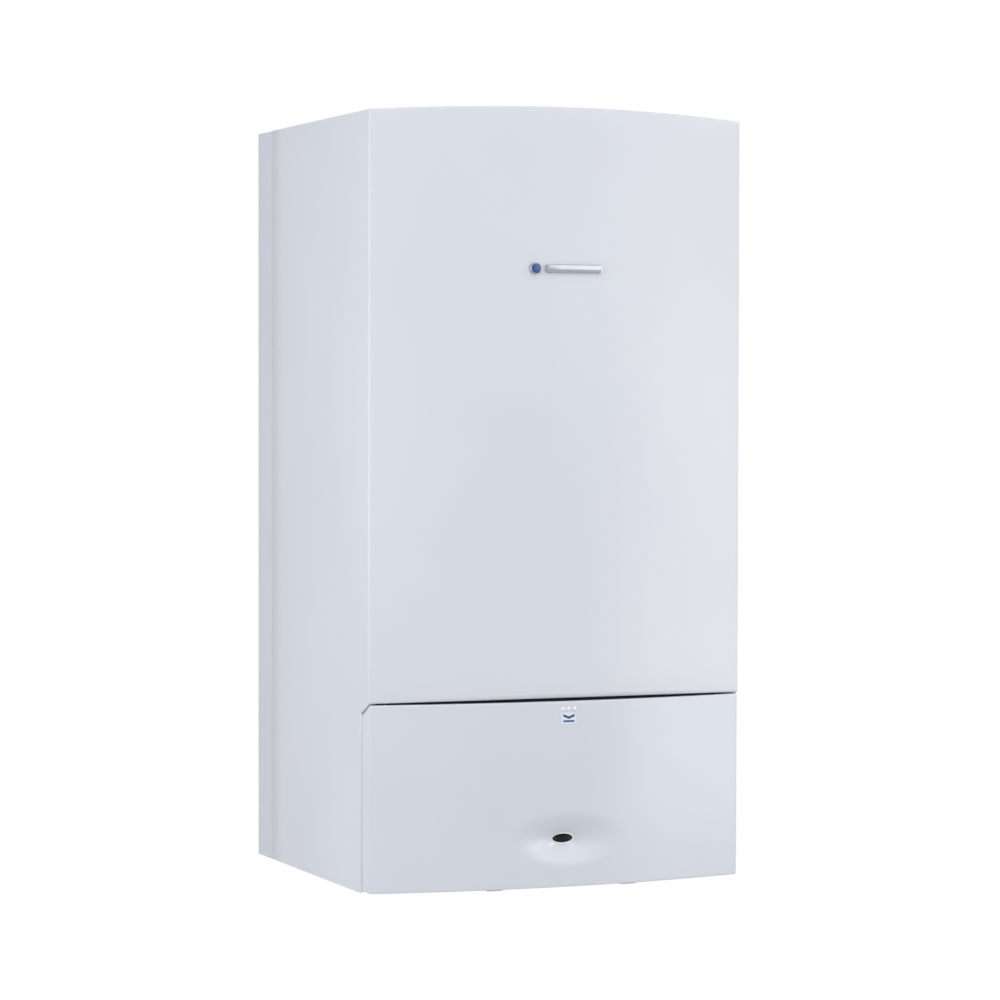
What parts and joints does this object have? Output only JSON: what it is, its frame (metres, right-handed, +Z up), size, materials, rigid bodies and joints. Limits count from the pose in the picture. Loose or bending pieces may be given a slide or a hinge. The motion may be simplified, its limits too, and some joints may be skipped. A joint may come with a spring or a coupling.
{
  "type": "combi boiler",
  "caption": "Wall-hung gas combi boiler with a curved front casing, a drop-down flap over its controls, a flue socket on top and pipe sockets below.",
  "frame": {"origin": "centre of the hanging rail's back face, on the wall plane", "axes": "+Y into the wall, +Z up, +X to the right of someone who faces the boiler; the front faces -Y"},
  "size_m": [0.44, 0.404, 0.85],
  "materials": {
    "casing_enamel": "smooth satin white stove enamel on sheet steel",
    "chassis_enamel": "satin off-white stove enamel on sheet steel",
    "flap_plastic": "satin white moulded plastic",
    "badge_blue": "blue enamel tile",
    "chrome_trim": "bright chrome",
    "galvanised": "galvanised steel",
    "dark_plastic": "fine-grained black moulded plastic",
    "cast_aluminium": "as-cast aluminium",
    "board_green": "green solder-masked circuit board",
    "facia_grey": "pale grey moulded plastic",
    "display_glass": "smoked clear window",
    "lamp_plastic": "green tinted clear lens",
    "knob_white": "white moulded plastic",
    "needle_red": "red needle",
    "stainless": "stainless steel",
    "electrode_white": "glazed ceramic insulator",
    "copper_pipe": "drawn copper tube",
    "brass_body": "hot-stamped brass",
    "vessel_red": "red enamel on pressed steel",
    "hose_grey": "grey moulded plastic",
    "knob_red": "red moulded plastic"
  },
  "bodies": {
    "boiler_body": {"outer_casing": "casing_enamel", "badge_tile": "badge_blue", "badge_bar": "chrome_trim", "chassis_tray": "chassis_enamel", "wall_rail": "galvanised", "top_panel": "chassis_enamel", "flue_socket": "dark_plastic", "flue_duct": "cast_aluminium", "lower_frame": "galvanised", "casing_screw_left": "galvanised", "casing_screw_right": "galvanised", "heat_cell": "cast_aluminium", "burner_hood": "cast_aluminium", "burner_tube": "stainless", "electrode": "electrode_white", "cell_bracket_left": "galvanised", "cell_bracket_right": "galvanised", "fan_housing": "cast_aluminium", "fan_motor": "dark_plastic", "venturi": "dark_plastic", "gas_valve": "cast_aluminium", "gas_pipe_upper": "copper_pipe", "gas_stub": "copper_pipe", "plate_exchanger": "stainless", "flow_stub": "copper_pipe", "hot_stub": "copper_pipe", "cold_stub": "copper_pipe", "return_stub": "copper_pipe", "diverter_body": "brass_body", "diverter_actuator": "dark_plastic", "flow_pipe": "copper_pipe", "return_pipe": "copper_pipe", "expansion_vessel": "vessel_red", "condensate_trap": "hose_grey", "condensate_hose": "hose_grey", "pump_housing": "brass_body", "pump_motor": "dark_plastic", "air_vent": "brass_body", "relief_valve": "brass_body"},
    "control_unit": {"control_box": "facia_grey", "circuit_board": "board_green", "control_facia": "facia_grey", "display_window": "display_glass", "lamp_lens": "lamp_plastic", "gauge_case": "dark_plastic", "latch_body": "dark_plastic"},
    "flap_body": {"flap": "flap_plastic"},
    "heating_knob": {"knob_heating": "knob_white"},
    "water_knob": {"knob_water": "knob_white"},
    "rocker": {"power_switch": "dark_plastic"},
    "push_1": {"button_1": "knob_white"},
    "push_2": {"button_2": "knob_white"},
    "push_3": {"button_3": "knob_white"},
    "push_4": {"button_4": "knob_white"},
    "needle": {"gauge_needle": "needle_red"},
    "plunger": {"latch_plunger": "knob_white"},
    "fan_rotor": {"fan_impeller": "dark_plastic"},
    "pump_rotor": {"pump_impeller": "dark_plastic"},
    "diverter_pin": {"diverter_spindle": "stainless"},
    "relief_handle": {"relief_knob": "knob_red"}
  },
  "joints": [
    {"name": "control_box_tilt", "type": "hinge", "parent": "boiler_body", "child": "control_unit", "pos_m": [0, -0.3545, -0.7455], "axis": [1, 0, 0], "range_deg": [0, 80]},
    {"name": "flap_hinge", "type": "hinge", "parent": "control_unit", "child": "flap_body", "pos_m": [0, -0.385, -0.744], "axis": [1, 0, 0], "range_deg": [0, 95]},
    {"name": "knob_heating_turn", "type": "hinge", "parent": "control_unit", "child": "heating_knob", "pos_m": [-0.118, -0.36, -0.646], "axis": [0, 1, 0], "range_deg": [0, 270]},
    {"name": "knob_water_turn", "type": "hinge", "parent": "control_unit", "child": "water_knob", "pos_m": [-0.058, -0.36, -0.646], "axis": [0, 1, 0], "range_deg": [0, 270]},
    {"name": "power_switch_rock", "type": "hinge", "parent": "control_unit", "child": "rocker", "pos_m": [-0.17, -0.3455, -0.646], "axis": [-1, 0, 0], "range_deg": [0, 18]},
    {"name": "button_1_press", "type": "slide", "parent": "control_unit", "child": "push_1", "axis": [0, 1, 0], "range_m": [0, 0.0015], "stiffness_N_per_m": 400, "springref_m": -0.001},
    {"name": "button_2_press", "type": "slide", "parent": "control_unit", "child": "push_2", "axis": [0, 1, 0], "range_m": [0, 0.0015], "stiffness_N_per_m": 400, "springref_m": -0.001},
    {"name": "button_3_press", "type": "slide", "parent": "control_unit", "child": "push_3", "axis": [0, 1, 0], "range_m": [0, 0.0015], "stiffness_N_per_m": 400, "springref_m": -0.001},
    {"name": "button_4_press", "type": "slide", "parent": "control_unit", "child": "push_4", "axis": [0, 1, 0], "range_m": [0, 0.0015], "stiffness_N_per_m": 400, "springref_m": -0.001},
    {"name": "gauge_needle_swing", "type": "hinge", "parent": "control_unit", "child": "needle", "pos_m": [0.112, -0.346, -0.646], "axis": [0, 1, 0], "range_deg": [-120, 120]},
    {"name": "latch_plunger_push", "type": "slide", "parent": "control_unit", "child": "plunger", "axis": [0, 1, 0], "range_m": [0, 0.003], "stiffness_N_per_m": 500, "springref_m": -0.002},
    {"name": "fan_spin", "type": "hinge", "parent": "boiler_body", "child": "fan_rotor", "pos_m": [0.135, -0.3, -0.045], "axis": [0, 1, 0], "continuous": true},
    {"name": "pump_spin", "type": "hinge", "parent": "boiler_body", "child": "pump_rotor", "pos_m": [0.13, -0.19, -0.6], "axis": [0, 1, 0], "continuous": true},
    {"name": "diverter_shift", "type": "slide", "parent": "boiler_body", "child": "diverter_pin", "axis": [0, 1, 0], "range_m": [0, 0.008]},
    {"name": "relief_knob_turn", "type": "hinge", "parent": "boiler_body", "child": "relief_handle", "pos_m": [0.05, -0.15, -0.6], "axis": [1, 0, 0], "range_deg": [0, 90]}
  ]
}
